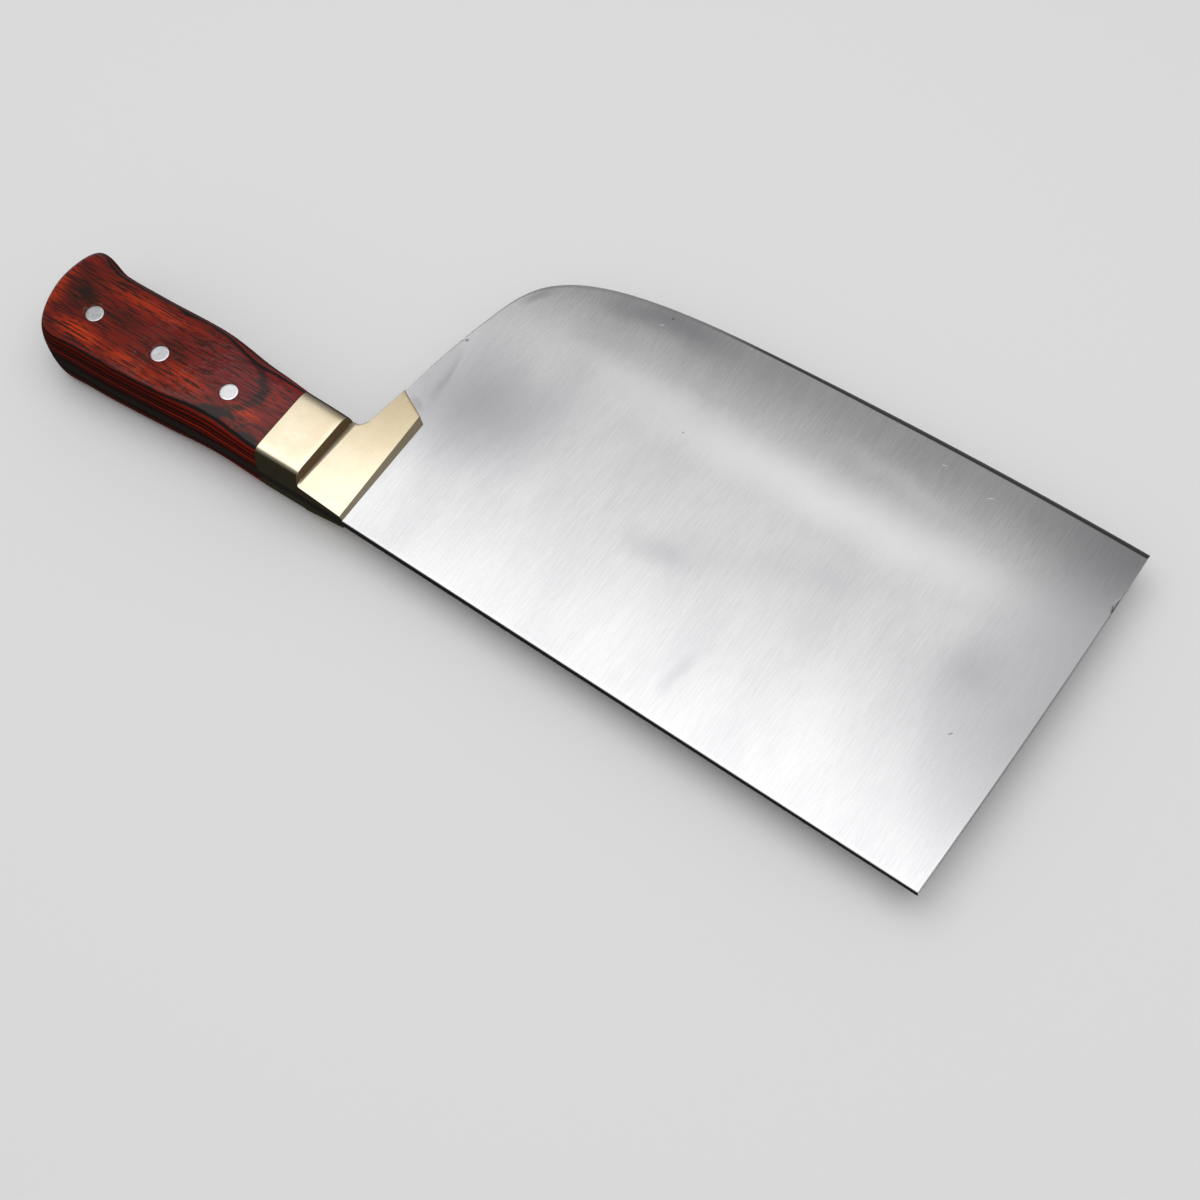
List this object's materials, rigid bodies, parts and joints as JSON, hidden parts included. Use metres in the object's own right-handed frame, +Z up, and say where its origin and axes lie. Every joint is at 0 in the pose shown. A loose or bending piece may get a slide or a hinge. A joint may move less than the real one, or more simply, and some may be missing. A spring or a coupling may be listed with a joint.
{
  "type": "butcher cleaver",
  "caption": "Butcher cleaver: tall blade with a rounded heel corner, full tang, stepped brass bolster and a riveted wooden grip with a beaked butt.",
  "frame": {"origin": "middle of the underside of the box round the whole knife, which lies flat on its side", "axes": "+X from the butt to the tip of the blade, +Y from the spine to the cutting edge, +Z up through the thickness of the handle"},
  "size_m": [0.3402, 0.1288, 0.024],
  "materials": {
    "blade": "satin, ground with fine lines from the spine to the cutting edge",
    "bolster": "satin brass with soft edges",
    "grip": "glossy lacquer over red and black laminated wood",
    "rivet": "satin, ground flush with the wood"
  },
  "bodies": {
    "root": {"blade": "blade", "bolster_upper": "bolster", "bolster_lower": "bolster", "bolster_pin_finger_side": "bolster", "bolster_pin_spine_side": "bolster", "scale_upper": "grip", "scale_lower": "grip", "rivet_front": "rivet", "rivet_middle": "rivet", "rivet_rear": "rivet"}
  },
  "joints": []
}
